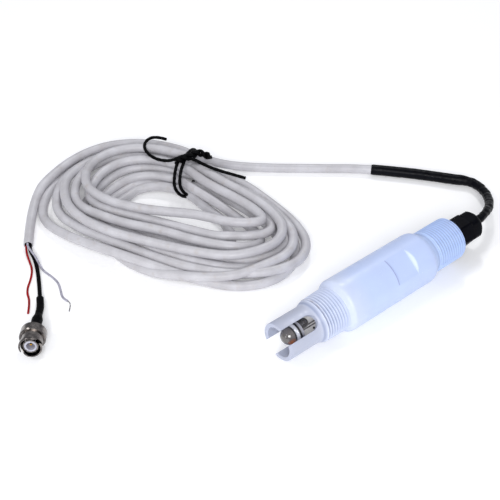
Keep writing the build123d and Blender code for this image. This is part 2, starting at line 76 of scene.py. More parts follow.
# The coil is laid out over 19 stations round its hole. Each station has a point on the outer edge
# and one on the inner edge. Each turn has two lists: how deep inside the outer edge it passes each
# station, and how high its middle is there.
OUTER = [
    (-9, 172), (-25, 199), (-47, 215), (-72, 217), (-97, 209), (-113, 195), (-119, 178),
    (-118, 156), (-112, 131), (-100, 103), (-83, 78), (-63, 56), (-42, 46), (-22, 46),
    (-6, 56), (1, 75), (3, 100), (3, 125), (0, 150),
]
INNER = [
    (-38, 150), (-47, 160), (-56, 164), (-63, 166), (-69, 168), (-73, 164), (-74, 156),
    (-72, 148), (-68, 138), (-61, 125), (-54, 112), (-47, 101), (-41, 96), (-37, 97),
    (-35, 103), (-34, 113), (-34, 124), (-34, 134), (-35, 143),
]
OUTER_RUN = (
    [-1, -1, 0, 1, 0.5, 1, -1, 2, 4, 4.5, 3, 0.5, 1, 5, 9, 8.5, 7.3, 7.8, 7],
    [3, 3, 3, 3, 3, 3, 3, 5, 8, 8.5, 5, 3, 3, 3, 3, 3, 3, 3, 3],
)
TOP_OUTER_RUN = (
    [8, 9, 10, 11, 12.5, 16, 15, 13, 14, 17, 17, 17.5, 19, 18, 17, 16, 16.5, 19, 18],
    [8.5, 8.5, 9, 11, 13, 13.5, 13.5, 13.5, 13.5, 13.5, 13.3, 13.2, 13.4, 13.5, 13.5, 13.5,
     13.5, 13.5, 14],
)
TOP_INNER_RUN = (
    [10, 10, 13, 17, 25, 32, 37, 38, 40, 44, 48, 52, 51, 45, 29, 27, 28, 28, 26],
    [14, 14, 14, 15, 16, 16, 16, 16, 16, 16, 16, 16, 16, 16, 15.5, 14, 14, 14, 14],
)
SECOND_INNER_RUN = (
    [20.5, 22.5, 25, 26.5, 30, 31, 33, 36, 38, 39, 39, 40, 42, 37, 24, 19, 18, 19, 19],
    [13.5, 13.2, 12.4, 11.6, 10.6, 10.5, 10.5, 10.5, 10.5, 10.5, 10.5, 10.5, 10.3, 9.7, 9, 8.8,
     8.5, 8.5, 8.5],
)
UNDER_TOP_RUN = (
    [20, 24, 27, 29.7, 31, 28, 21.5, 20, 19.5, 18, 14.5, 15, 15, 14, 19, 20, 20, 21, 20],
    [7, 7.5, 7, 5.5, 4, 4, 4, 8, 8, 8, 8.1, 6, 3.5, 3, 3, 3, 3, 3, 3],
)
OUTER_TOP_EDGE_RUN = (
    [3.5, 3.5, 4, 6, 8, 10.5, 8.5, 10, 13, 12, 8, 8, 4.5, 1.5, 1.5, 2, 4, 5.5, 9],
    [3.2, 3.5, 5, 7, 8, 8, 8, 8, 8, 8, 8, 7, 7.6, 6.5, 6, 6, 7, 8.4, 8],
)
INNER_TO_MIDDLE_RUN = (
    [29, 33.5, 37.5, 39, 39.5, 37, 33, 29, 26, 24, 23, 22, 19.5, 16, 14, 14, 13, 14, 16],
    [8.5, 8, 7, 5.5, 4, 5, 4, 4.5, 5, 6, 6.5, 7, 7, 6.5, 6, 4.5, 3.2, 3, 4],
)
MIDDLE_TO_INNER_RUN = (
    [13.5, 13.5, 13.5, 14, 20, 22, 22, 25, 27, 31, 29, 29.5, 29, 30, 32, 38, 36.5, 34, 33],
    [8.5, 8.5, 8.5, 9.5, 12, 12, 12, 12, 12, 12, 12, 11.8, 10, 6, 3.2, 5.5, 8, 9, 9.5],
)
INNER_TO_OUTER_RUN = (
    [35, 41.3, 46.5, 50, 51, 48.6, 38.5, 23.3, 10.5, 2, 0, 5, 10, 8.5, 10, 10.5, 11, 14, 20],
    [6, 5, 3.3, 3, 3, 3, 3, 3, 3, 3.5, 8, 8, 9.5, 10, 10, 10, 10, 9.5, 8.5],
)
LOWEST_INNER_RUN = (
    [29.5, 36, 40.6, 44.5, 45.2, 42.7, 44, 36, 33, 33, 35, 39, 44, 50, 54, 48, 42, 37, 34],
    [3, 3, 3, 3, 3, 3, 3, 3, 3, 3, 3, 3, 3, 3, 3, 3, 3, 4, 4.2],
)
TURNS = [
    TOP_INNER_RUN, SECOND_INNER_RUN, UNDER_TOP_RUN, LOWEST_INNER_RUN, INNER_TO_OUTER_RUN,
    TOP_OUTER_RUN, MIDDLE_TO_INNER_RUN, INNER_TO_MIDDLE_RUN, OUTER_TOP_EDGE_RUN, OUTER_RUN,
]
LEAVING_RUN = ([-2, -3, -3, -2.5], [8.5, 8.5, 8, 8])

# The probe lies along X with its axis AXIS_Z up, and its slot and flats are rolled round it by
# ROLL degrees. Places along the axis and radii round it are in millimetres.
AXIS_Z = 15.75
AXIS_POINT = (0.0, 0.0, AXIS_Z * MM)
ROLL = 34.7
X_TIP = -80.0
X_THREAD = -58.8
X_FIRST_GROOVE = -55.6
X_SHOULDER = -39.5
X_MAIN = -37.4
X_MAIN_END = 25.8
X_RELIEF = 30.9
X_REAR_THREAD = 31.9
X_REAR = 53.8
GUARD_R = 11.25
FRONT_CREST_R = 12.83
SHOULDER_R = 13.335
MAIN_R = 15.75
RELIEF_R = 12.35
REAR_CREST_R = 13.1
REAR_END_R = 12.3
HOUSING_COLUMNS = 160
GUARD_STATIONS = (-70.0, -62.0)
MAIN_STATIONS = (-20.0, 0.0, 20.0)

# The guard's rounded rim: how far behind the tip, and how far under the guard's radius
GUARD_RIM = [(0.0, 0.4), (0.1, 0.15), (0.4, 0.0)]

# How far before and behind its corner each shoulder of the middle is rounded
FRONT_ROUND = (0.8, 1.6)
REAR_ROUND = (1.8, 1.3)

# The housing's inside, from the guard's mouth to the gland's bore
HOUSING_BORE = [
    (X_TIP, 9.25), (-79.6, 8.8), (-56.0, 8.75), (-56.0, 6.1), (5.0, 6.1), (5.0, 9.8),
    (43.0, 9.8), (43.0, 7.95), (X_REAR, 7.95),
]

# The threads: their grooves fade in and out, and their ends flare or are chamfered
THREAD_PITCH = 1.814
THREAD_TAPER = 1 / 16
ROWS_A_TURN = 12
FLANK_SLOPE = 1.5
CREST_SHARE = 0.22
FRONT_GROOVE = 1.05
REAR_GROOVE = 1.0
GROOVE_FADE = 1.6
FIRST_GROOVE_FADE = 1.2
FRONT_FLARE = 0.42
REAR_FLARE = 1.3
REAR_CHAMFER = 0.8

# What is cut from the housing: the guard's slot and the two wrench flats
SLOT_R = 4.5
X_SLOT_ROUND = -63.4
X_SLOT_START = -90.0
SLOT_REACH = 20.0
SLOT_STEPS = 24
FLAT_R = 13.6
FLAT_START = -3.8
FLAT_END = 11.2
FLAT_RUN_OUT = 13.3
FLAT_RUN_OUT_R = 15.9
FLAT_TOP_R = 20.0
FLAT_REACH = 25.0

# Marks on the housing: a line of dirt, the radii between which painted shade in a groove comes and
# goes, and those at which the painted highlight on a flat's slope ends
X_DIRT = -54.3
GROOVE_SHADE_COMES = (11.4, 11.7)
GROOVE_SHADE_GOES = (11.9, 12.7)
FLAT_HIGHLIGHT_GOES = (15.2, 15.6)

# The glass sensor inside the guard: a ball that turns through BULB_TURN degrees into its neck,
# the clear stem, the dark inner tube, and the brown stain on the ball
X_BULB = -72.2
BULB_R = 4.9
BULB_TURN = 108
BULB_STEPS = 22
BULB_NECK = [(-70.35, 4.9), (-70.1, 5.45), (-69.7, 5.8), (-69.1, 5.97), (-68.4, 6.0)]
X_BULB_END = -66.2
STEM_R = 6.0
STEM_GAP = 0.05
X_STEM_END = 1.0
INNER_R = 2.9
X_INNER_END = -58.5
INNER_SHIFT = (0.0, 1.2, 1.7)
INNER_STEPS = 12
X_BULB_MARKS = -77.2
STAIN_PLACE = (-73.5, -4.6, 15.0)
STAIN_REACH = (1.3, 2.9)

# The gland's nut: a hexagon with cut corners and a dome behind it
NUT_START = 65.4
NUT_HEX_END = 72.6
NUT_END = 76.8
NUT_FLAT_R = 8.5
NUT_CORNER_R = 9.35
NUT_FRONT_CUT = 0.8
NUT_REAR_CUT = 0.5
NUT_REAR_CUT_LEN = 1.0
DOME_R = 8.35
DOME_DROP = 4.6
DOME_CURVE = 1.9
DOME_STEPS = 14
NUT_COLUMNS = 96
NUT_FLAT_STATIONS = [67.5, 69.5, 71.4]

# The shrunk sleeve: thin over the cores, swelling a little, then stepping up over the jacket
SLEEVE_R = 2.55
SLEEVE_SWELL = 0.35
SLEEVE_SWELL_LEN = 50.0
SLEEVE_JACKET_R = 3.5
SLEEVE_STEP = 66.5
SLEEVE_STEP_LEN = 6.0
SLEEVE_END_DROP = 0.25
SLEEVE_END_LEN = 0.8
SMOOTHED_SHARE = 0.75

# Its wrinkles: folds as a depth and the radians a millimetre, and lumps as a noise
FINE_FOLD = (0.08, 1.45)
BROAD_FOLD = (0.1, 0.83)
LUMP_DEPTH = 0.4
LUMP_RATE = 0.13
LUMP_ROUND = 1.4

# The hollow in the jacket's cut end: places along the cable past its end, and radii
HOLLOW_PLACES = (-0.3, 0.02, 0.06)
HOLLOW_R = 2.35
HOLLOW_RIM_R = 2.2
HOLLOW_RIM_FROM = 0.34

# The stripped strands, spreading as they leave the insulation, with their twist in radians a
# millimetre
STRAND_COUNT = 5
STRAND_R = 0.11
STRAND_TWIST = 0.9
STRAND_SPREAD = 0.16
STRAND_SPREAD_RATE = 0.012

# The twist tie, of two plies whose pattern repeats every TIE_LAY, and its routes
TIE_D = 2.2
TIE_LAY = 4.0
TIE_SIDES = 12
PLY_DENT = 0.14
KNOT_TWIST = 0.7
KNOT_SPREAD = 1.3
KNOT_D = TIE_D * 1.15
TIE_WRAPS = [
    [(-25.5, 163.0, 18.4), (-30.0, 159.3, 18.6), (-35.5, 154.2, 18.3), (-41.9, 146.8, 16.8),
     (-43.1, 144.7, 13.6), (-42.0, 143.4, 9.6), (-39.3, 142.4, 6.0), (-34.0, 143.4, 2.2),
     (-27.0, 149.5, 1.1), (-17.0, 159.5, 1.1), (-8.0, 169.0, 1.3), (-4.4, 173.0, 3.6),
     (-5.2, 172.4, 8.6), (-9.5, 169.2, 14.6), (-15.0, 165.5, 18.3), (-21.0, 162.0, 19.2)],
    [(-21.5, 161.0, 18.8), (-27.1, 156.6, 18.6), (-33.2, 151.3, 18.4), (-38.9, 144.9, 17.2),
     (-40.2, 142.7, 14.0), (-39.1, 142.0, 10.4), (-36.7, 141.8, 6.6), (-32.6, 142.4, 2.4),
     (-25.5, 147.6, 1.1), (-14.5, 156.5, 1.1), (-5.0, 165.0, 1.3), (-1.4, 168.0, 3.6),
     (-2.4, 167.4, 8.6), (-6.8, 165.2, 14.4), (-12.5, 162.0, 18.3), (-18.5, 159.6, 19.6)],
]
TIE_KNOT = [(-31.0, 160.2, 19.6), (-26.0, 158.2, 20.2), (-19.5, 157.4, 20.5), (-14.5, 157.8, 20.5),
            (-11.2, 154.2, 19.6), (-10.2, 150.2, 18.8)]
TIE_TAIL = [
    (-26.0, 159.5, 20.2), (-21.0, 155.6, 20.2), (-18.7, 147.6, 19.2), (-14.9, 140.2, 17.5),
    (-8.5, 130.7, 16.0), (-2.7, 122.9, 14.5),
]
TIE_HOOK = [
    (-21.0, 160.8, 20.0), (-26.0, 162.6, 19.4), (-32.5, 163.6, 18.6), (-37.8, 170.6, 18.0),
    (-39.0, 180.8, 17.8), (-35.2, 190.8, 17.6), (-27.6, 195.1, 17.6), (-22.0, 191.6, 17.6),
    (-19.6, 186.6, 17.4),
]

# The photograph's view, in metres: the camera's place and its three directions
CAMERA_PLACE = (-0.31067, -0.26021, 0.39160)
CAMERA_RIGHT = (0.775858, -0.630908, 0.0)
CAMERA_UP = (0.420146, 0.516762, 0.745945)
CAMERA_BACK = (-0.47066, -0.57872, 0.66601)
CAMERA_LENS = 69.35
SENSOR_WIDTH = 36.0

# Each light's name, place, target and size in metres, and power in watts
LIGHTS = [
    ("key", (-0.60, -0.66, 0.70), (-0.02, 0.06, 0.0), 0.6, 8.3),
    ("back", (0.5, 0.6, 1.0), (-0.02, 0.08, 0.0), 0.2, 3.4),
    ("side", (-0.75, 0.15, 0.85), (-0.05, 0.08, 0.0), 0.16, 1.4),
    ("low", (-0.84, 0.0, 0.25), (-0.07, 0.0, 0.015), 0.2, 0.5),
]
FLOOR_SIZE = 3.0
FLOOR_GLOW = 0.13
SKY_STRENGTH = 0.46

# The sockets of a Mix node that mixes colours
MIX_FACTOR, MIX_FIRST, MIX_SECOND, MIX_RESULT = 0, 6, 7, 2


# Points, lines and meshes
def metres(points):
    return [Vector(p) * MM for p in points]


def tint(red, green, blue):
    """A display colour of 0 to 255 as the linear colour that shaders take."""
    linear = []
    for value in (red, green, blue):
        share = value / 255
        linear.append(share / 12.92 if share <= 0.04045 else ((share + 0.055) / 1.055) ** 2.4)
    return (*linear, 1.0)


def link_object(name, data):
    made = bpy.data.objects.new(name, data)
    bpy.context.scene.collection.objects.link(made)
    return made


def nurbs_curve(name, points, diameter=0.0):
    """An open smooth cord line with the points as its control points, in metres."""
    curve = bpy.data.curves.new(name, "CURVE")
    curve.dimensions = "3D"
    spline = curve.splines.new("NURBS")
    spline.points.add(len(points) - 1)
    for place, point in zip(spline.points, points):
        place.co = (*point, 1.0)
        place.radius = diameter / 2
    spline.order_u = 3
    spline.use_endpoint_u = True
    spline.resolution_u = 8
    curve.bevel_depth = 1.0 if diameter else 0.0
    curve.bevel_resolution = 6
    curve.use_fill_caps = True
    return link_object(name, curve)


def points_on_line(points, resolution=8):
    """Points read from the smooth line through a route's control points."""
    line = nurbs_curve("line", points)
    line.data.splines[0].resolution_u = resolution
    graph = bpy.context.evaluated_depsgraph_get()
    mesh = bpy.data.meshes.new_from_object(line.evaluated_get(graph))
    found = [v.co.copy() for v in mesh.vertices]
    bpy.data.meshes.remove(mesh)
    data = line.data
    bpy.data.objects.remove(line)
    bpy.data.curves.remove(data)
    return found


def frames_along(points):
    """A direction and two crossways vectors at each point, turned as little as possible."""
    directions = []
    for i in range(len(points)):
        ahead = points[min(i + 1, len(points) - 1)] - points[max(i - 1, 0)]
        directions.append(ahead.normalized())
    side = directions[0].orthogonal().normalized()
    frames = []
    for direction in directions:
        side = (side - direction * side.dot(direction)).normalized()
        frames.append((direction, side, direction.cross(side)))
    return frames


def arc_lengths(points):
    """How far along a line each of its points is."""
    total = 0.0
    lengths = [0.0]
    for before, here in zip(points, points[1:]):
        total += (here - before).length
        lengths.append(total)
    return lengths


def limited(value):
    """A value held between 0 and 1."""
    return min(max(value, 0.0), 1.0)


def wound(line, start, twist, spread):
    """A line wound round another, by twist radians a millimetre, at spread(distance) from it."""
    points = []
    for point, (_, side, up), metres_on in zip(line, frames_along(line), arc_lengths(line)):
        distance = metres_on / MM
        angle = start + twist * distance
        points.append(point + (side * cos(angle) + up * sin(angle)) * spread(distance) * MM)
    return points


def bridge(shape, low, high):
    """Faces between two rings of vertices, of which one may be a single point."""
    columns = max(len(low), len(high))
    for i in range(columns):
        j = (i + 1) % columns
        corners = [low[i % len(low)], low[j % len(low)], high[j % len(high)], high[i % len(high)]]
        shape.faces.new(list(dict.fromkeys(corners)))


def closed_tube(name, shape, rings, sharp_angle=40.0):
    """A mesh of rings joined one to the next, with a face at each end."""
    for low, high in zip(rings, rings[1:]):
        bridge(shape, low, high)
    shape.faces.new(list(reversed(rings[0])))
    shape.faces.new(rings[-1])
    return finished_mesh(name, shape, sharp_angle)


def mesh_tube(name, points, radius, sides):
    """A closed tube along points in metres, with radius(distance, angle) from its line."""
    shape = bmesh.new()
    rings = []
    for point, (_, side, up), distance in zip(points, frames_along(points), arc_lengths(points)):
        ring = []
        for i in range(sides):
            angle = 2 * pi * i / sides
            out = side * cos(angle) + up * sin(angle)
            ring.append(shape.verts.new(point + out * radius(distance, angle)))
        rings.append(ring)
    return closed_tube(name, shape, rings)


def finished_mesh(name, shape, sharp_angle=40.0):
    bmesh.ops.recalc_face_normals(shape, faces=shape.faces)
    mesh = bpy.data.meshes.new(name)
    shape.to_mesh(mesh)
    shape.free()
    mesh.shade_smooth()
    mesh.set_sharp_from_angle(angle=radians(sharp_angle))
    return link_object(name, mesh)


def discard(piece):
    """Takes a helper object and its mesh out of the scene."""
    mesh = piece.data
    bpy.data.objects.remove(piece)
    bpy.data.meshes.remove(mesh)


def joined(name, parts):
    """One object made of several, which go."""
    shape = bmesh.new()
    for part in parts:
        shape.from_mesh(part.data)
        discard(part)
    return finished_mesh(name, shape)


# Materials
def add_node(tree, kind, inputs=None, **settings):
    made = tree.nodes.new(kind)
    for key, value in settings.items():
        setattr(made, key, value)
    for key, value in (inputs or {}).items():
        made.inputs[key].default_value = value
    return made


def new_material(name):
    material = bpy.data.materials.new(name)
    material.use_nodes = True
    tree = material.node_tree
    return material, tree, tree.nodes["Principled BSDF"]


def surface_point(tree):
    """Where a point of the surface is in its object, in metres."""
    return add_node(tree, "ShaderNodeTexCoord").outputs["Object"]


def noise_value(tree, scale, detail=4.0):
    """A noise of so many grains a metre over the object's own place."""
    grain = add_node(tree, "ShaderNodeTexNoise", {"Scale": scale, "Detail": detail})
    tree.links.new(surface_point(tree), grain.inputs["Vector"])
    return grain.outputs["Fac"]


def ramp(tree, value, stops):
    """Colours placed along a value from 0 to 1."""
    made = add_node(tree, "ShaderNodeValToRGB")
    elements = made.color_ramp.elements
    while len(elements) < len(stops):
        elements.new(0.5)
    for element, (place, colour) in zip(elements, stops):
        element.position = place
        element.color = colour
    tree.links.new(value, made.inputs["Fac"])
    return made.outputs["Color"]


def ranged(tree, value, low, high, to_low, to_high):
    """A value between low and high carried over to another range, and held to it."""
    made = add_node(tree, "ShaderNodeMapRange", {
        "From Min": low, "From Max": high, "To Min": to_low, "To Max": to_high})
    tree.links.new(value, made.inputs["Value"])
    return made.outputs["Result"]


def wandering(tree, scale, detail, low, high):
    """A value that wanders between low and high over the surface."""
    return ranged(tree, noise_value(tree, scale, detail), 0.35, 0.65, low, high)


def mixed(tree, factor, first, second):
    """A blend of two colours, each a socket or a plain colour."""
    made = add_node(tree, "ShaderNodeMix", data_type="RGBA")
    for place, source in ((MIX_FACTOR, factor), (MIX_FIRST, first), (MIX_SECOND, second)):
        if isinstance(source, tuple):
            made.inputs[place].default_value = source
        else:
            tree.links.new(source, made.inputs[place])
    return made.outputs[MIX_RESULT]


def set_look(tree, shader, colour, roughness):
    tree.links.new(colour, shader.inputs["Base Color"])
    tree.links.new(roughness, shader.inputs["Roughness"])


def add_relief(tree, shader, height, strength, depth):
    bump = add_node(tree, "ShaderNodeBump", {"Strength": strength, "Distance": depth})
    tree.links.new(height, bump.inputs["Height"])
    tree.links.new(bump.outputs["Normal"], shader.inputs["Normal"])


def worked(name, low, high, patch, roughness, relief, metallic=0.0, coat=0.0, speck=None,
           specular=0.5):
    """A surface whose colour, gloss and relief vary, with small specks if they are given.

    patch is the colour patches' number a metre, roughness its low and high, relief the number of
    grains a metre and their depth, and speck a colour with the noise value above which it shows.
    """
    speck_grains, gloss_grains = patch * 9, patch * 2.3
    material, tree, shader = new_material(name)
    colour = ramp(tree, noise_value(tree, patch, 5.0), [(0.36, low), (0.64, high)])
    if speck:
        speck_colour, least = speck
        mask = ranged(tree, noise_value(tree, speck_grains, 3.0), least, least + 0.06, 0.0, 1.0)
        colour = mixed(tree, mask, colour, speck_colour)
    set_look(tree, shader, colour, wandering(tree, gloss_grains, 5.0, *roughness))
    grains, depth = relief
    add_relief(tree, shader, noise_value(tree, grains, 3.0), 0.6, depth)
    shader.inputs["Metallic"].default_value = metallic
    shader.inputs["Coat Weight"].default_value = coat
    shader.inputs["Specular IOR Level"].default_value = specular
    return material


def dress(piece, material):
    """Gives a piece, or a CAD node, its one material."""
    piece.data.materials.clear()
    piece.data.materials.append(material)
    return piece


def along_axis(tree, axis="X"):
    """A surface point's own X, or another of its coordinates, in metres."""
    parts = add_node(tree, "ShaderNodeSeparateXYZ")
    tree.links.new(surface_point(tree), parts.inputs["Vector"])
    return parts.outputs[axis]


def make_materials():
    return {
        "jacket": jacket_material(),
        "housing": housing_material(),
        "glass": glass_material(),
        "bulb": bulb_material(),
        "inner_glass": worked(
            "inner_glass", tint(14, 12, 12), tint(58, 54, 54), 420, (0.03, 0.09), (3000, 0.00002),
            coat=0.6, specular=0.9),
        "black_plastic": worked(
            "black_plastic", tint(1, 1, 6), tint(5, 6, 13), 260, (0.34, 0.52), (2600, 0.00006),
            speck=(tint(22, 23, 34), 0.72), specular=0.06),
        "black_jacket": worked(
            "black_jacket", tint(1, 1, 3), tint(5, 5, 8), 300, (0.46, 0.66), (3000, 0.00005),
            specular=0.04),
        "shrunk_sleeve": worked(
            "shrunk_sleeve", tint(1, 1, 6), tint(5, 6, 13), 240, (0.26, 0.48), (1800, 0.00012),
            speck=(tint(24, 25, 36), 0.72), specular=0.1),
        "tie": worked(
            "tie_black", tint(1, 1, 2), tint(7, 7, 9), 500, (0.45, 0.7), (5000, 0.0001),
            specular=0.06),
        "nickel": worked(
            "nickel_plate", tint(92, 88, 87), tint(142, 136, 132), 300, (0.14, 0.28),
            (2600, 0.00002), metallic=1.0, speck=(tint(96, 88, 84), 0.66)),
        "gold": worked(
            "gold_plate", tint(196, 138, 46), tint(232, 178, 84), 900, (0.16, 0.3),
            (4000, 0.00001), metallic=1.0),
        "insulator": worked(
            "white_insulator", tint(158, 158, 170), tint(190, 190, 202), 420, (0.34, 0.5),
            (3000, 0.00003), speck=(tint(170, 166, 160), 0.72)),
        "red": worked(
            "red_insulation", tint(126, 0, 5), tint(158, 1, 9), 420, (0.4, 0.56),
            (3200, 0.00003), specular=0.15),
        "white": worked(
            "white_insulation", tint(146, 144, 158), tint(178, 176, 190), 420, (0.28, 0.44),
            (3200, 0.00003), specular=0.15),
        "copper": worked(
            "tinned_copper", tint(150, 148, 150), tint(206, 204, 206), 900, (0.2, 0.36),
            (5200, 0.00002), metallic=1.0),
        "rubber": worked(
            "seal_rubber", tint(10, 10, 11), tint(24, 24, 26), 500, (0.5, 0.7), (3600, 0.00005)),
        "resin": worked(
            "resin", tint(60, 52, 42), tint(92, 78, 60), 300, (0.3, 0.5), (1600, 0.00005)),
        "steel": worked(
            "steel_case", tint(150, 150, 154), tint(188, 188, 192), 400, (0.2, 0.34),
            (3200, 0.00002), metallic=1.0),
        "ceramic": worked(
            "ceramic", tint(20, 16, 14), tint(46, 38, 32), 1800, (0.6, 0.8), (9000, 0.00005)),
        "silver": worked(
            "silver_wire", tint(92, 88, 88), tint(150, 146, 146), 900, (0.24, 0.4),
            (5200, 0.00002), metallic=1.0),
    }


def jacket_material():
    """Pale grey cable jacket with faint scuffs and a little brown grime along it."""
    material, tree, shader = new_material("cable_jacket")
    base = ramp(tree, noise_value(tree, 90, 5.0), [
        (0.3, tint(179, 177, 181)), (0.7, tint(199, 198, 203))])
    grime = ranged(tree, noise_value(tree, 230, 6.0), 0.58, 0.78, 0.0, 0.34)
    colour = mixed(tree, grime, base, tint(166, 154, 142))
    scuff = ranged(tree, noise_value(tree, 1500, 3.0), 0.71, 0.78, 0.0, 0.5)
    colour = mixed(tree, scuff, colour, tint(128, 121, 116))
    set_look(tree, shader, colour, wandering(tree, 400, 4.0, 0.36, 0.52))
    add_relief(tree, shader, noise_value(tree, 2400, 3.0), 0.5, 0.00005)
    return material


def vector_math(tree, operation, vector, fixed):
    """A node that works on a vector and a fixed one."""
    made = add_node(tree, "ShaderNodeVectorMath", {1: fixed}, operation=operation)
    tree.links.new(vector, made.inputs[0])
    return made


def axis_reach(tree):
    """How far a place is from the probe's axis, in metres."""
    across = vector_math(tree, "MULTIPLY", surface_point(tree), (0.0, 1.0, 1.0))
    return vector_math(tree, "DISTANCE", across.outputs[0], AXIS_POINT).outputs["Value"]


def computed(tree, operation, first, second=0.0):
    """The result of a sum on one value, and on a second value or a number where it takes one."""
    made = add_node(tree, "ShaderNodeMath", operation=operation)
    tree.links.new(first, made.inputs[0])
    if isinstance(second, float):
        made.inputs[1].default_value = second
    else:
        tree.links.new(second, made.inputs[1])
    return made.outputs[0]


def product(tree, first, second):
    return computed(tree, "MULTIPLY", first, second)


def mm_ranged(tree, value, low, high, to_low, to_high):
    """A value in metres between two places in millimetres, carried over to another range."""
    return ranged(tree, value, low * MM, high * MM, to_low, to_high)


def band(tree, value, start, end, edge=0.2):
    """One where a value in metres lies between two places in millimetres, and zero elsewhere."""
    return product(tree, mm_ranged(tree, value, start - edge, start + edge, 0.0, 1.0),
                   mm_ranged(tree, value, end - edge, end + edge, 1.0, 0.0))


def groove_shade_share(tree):
    """How far a place lies down in a thread's groove, from 0 to 1, by its radius and place; it sets
    how much painted shade the groove gets.
    """
    reach = axis_reach(tree)
    outside_guard = mm_ranged(tree, reach, *GROOVE_SHADE_COMES, 0.0, 1.0)
    deep = mm_ranged(tree, reach, *GROOVE_SHADE_GOES, 0.85, 0.0)
    threaded = mm_ranged(tree, along_axis(tree), X_THREAD + 0.2, X_THREAD + 1.6, 0.0, 1.0)
    return product(tree, product(tree, outside_guard, deep), threaded)


def flat_shade_and_highlight(tree, colour):
    """The wrench flats' ends: painted shade along the front edge and a painted highlight on the
    pale slope at the rear.
    """
    centred = vector_math(tree, "SUBTRACT", surface_point(tree), AXIS_POINT)
    facing = (0.0, -sin(radians(ROLL)), cos(radians(ROLL)))
    height = vector_math(tree, "DOT_PRODUCT", centred.outputs[0], facing)
    size = computed(tree, "ABSOLUTE", height.outputs["Value"])
    over = mm_ranged(tree, size, FLAT_R - 0.1, FLAT_R + 0.2, 0.0, 1.0)
    place = along_axis(tree)
    edge = product(tree, over, band(tree, place, FLAT_START - 0.5, FLAT_START + 0.2))
    cut = mm_ranged(tree, axis_reach(tree), *FLAT_HIGHLIGHT_GOES, 1.0, 0.0)
    highlight_slope = product(tree, cut, band(tree, place, FLAT_END + 0.3, FLAT_RUN_OUT, 0.5))
    soft_highlight = ranged(tree, highlight_slope, 0.0, 1.0, 0.0, 0.55)
    # painted shade along each flat's front edge, then a painted highlight on its rear slope
    colour = mixed(tree, edge, colour, tint(150, 158, 205))
    return mixed(tree, soft_highlight, colour, tint(228, 237, 255))


def housing_share(x):
    """How far along the housing a place is, from 0 at its tip to 1 at its rear."""
    return (x - X_TIP) / (X_REAR - X_TIP)


def housing_dirt(tree):
    """How brown a place is: patches near one line round the front thread's first groove."""
    offset = computed(tree, "ADD", along_axis(tree), -X_DIRT * MM)
    near = mm_ranged(tree, computed(tree, "ABSOLUTE", offset), 0.1, 0.6, 1.0, 0.0)
    patches = ranged(tree, noise_value(tree, 260, 4.0), 0.35, 0.66, 0.08, 0.6)
    return product(tree, near, patches)


def housing_material():
    """Pale blue moulded plastic, whiter in front, with brown dirt in the front thread, painted
    shade in the thread grooves and at the flats' front edges, and a painted highlight on the flats'
    rear slopes.
    """
    material, tree, shader = new_material("housing_plastic")
    along = mm_ranged(tree, along_axis(tree), X_TIP, X_REAR, 0.0, 1.0)
    base = ramp(tree, along, [
        (0.0, tint(176, 180, 196)),
        (housing_share(X_THREAD), tint(182, 187, 205)),
        (housing_share(X_THREAD + 4), tint(212, 219, 238)),
        (housing_share(X_MAIN), tint(208, 217, 240)),
        (0.42, tint(192, 208, 244)),
        (housing_share(X_MAIN_END), tint(190, 206, 244)),
        (housing_share(X_REAR_THREAD), tint(182, 204, 244)),
        (1.0, tint(178, 201, 243))])
    base = mixed(tree, wandering(tree, 60, 5.0, 0.0, 0.35), base, tint(180, 192, 224))
    scuff = ranged(tree, noise_value(tree, 900, 4.0), 0.66, 0.76, 0.0, 0.45)
    colour = mixed(tree, scuff, base, tint(222, 230, 252))
    colour = mixed(tree, housing_dirt(tree), colour, tint(150, 126, 108))
    # painted shade: the thread grooves are darkened by their depth
    colour = mixed(tree, groove_shade_share(tree), colour, tint(138, 148, 178))
    colour = flat_shade_and_highlight(tree, colour)
    set_look(tree, shader, colour, wandering(tree, 320, 4.0, 0.3, 0.46))
    add_relief(tree, shader, noise_value(tree, 1500, 4.0), 0.5, 0.00005)
    return material


def glass_material():
    """Clear glass, seen mostly where it turns away, with pale gel behind its lower half; the gel is
    a real filling, and its paleness and faint glow are painted light.
    """
    gel_opacity, gel_painted_glow = 0.9, 0.16
    material, tree, shader = new_material("sensor_glass")
    colour = ramp(tree, noise_value(tree, 300, 3.0), [
        (0.4, tint(216, 214, 214)), (0.62, tint(240, 238, 238))])
    roughness = ranged(tree, noise_value(tree, 800, 3.0), 0.4, 0.7, 0.02, 0.09)
    set_look(tree, shader, colour, roughness)
    turned = add_node(tree, "ShaderNodeLayerWeight", {"Blend": 0.4})
    clear = ranged(tree, turned.outputs["Facing"], 0.3, 1.0, 0.05, 0.6)
    gel = mm_ranged(tree, along_axis(tree, "Z"), AXIS_Z - 0.8, AXIS_Z + 0.4, gel_opacity, 0.0)
    # painted light: the gel half glows a little, though it is no lamp
    tree.links.new(ranged(tree, gel, 0.0, gel_opacity, 0.0, gel_painted_glow),
                   shader.inputs["Emission Strength"])
    tree.links.new(computed(tree, "MAXIMUM", clear, gel), shader.inputs["Alpha"])
    tree.links.new(ranged(tree, gel, 0.0, gel_opacity, 0.5, 0.0),
                   shader.inputs["Specular IOR Level"])
    shader.inputs["IOR"].default_value = 1.5
    shader.inputs["Emission Color"].default_value = (0.9, 0.88, 0.86, 1.0)
    return material


def bulb_stain(tree):
    """How brown the bulb is round one place on it, in blotches."""
    centre = tuple(value * MM for value in STAIN_PLACE)
    reach = vector_math(tree, "DISTANCE", surface_point(tree), centre)
    near = mm_ranged(tree, reach.outputs["Value"], *STAIN_REACH, 1.0, 0.0)
    blotch = ranged(tree, noise_value(tree, 700, 3.0), 0.35, 0.55, 0.45, 1.0)
    return product(tree, near, blotch)


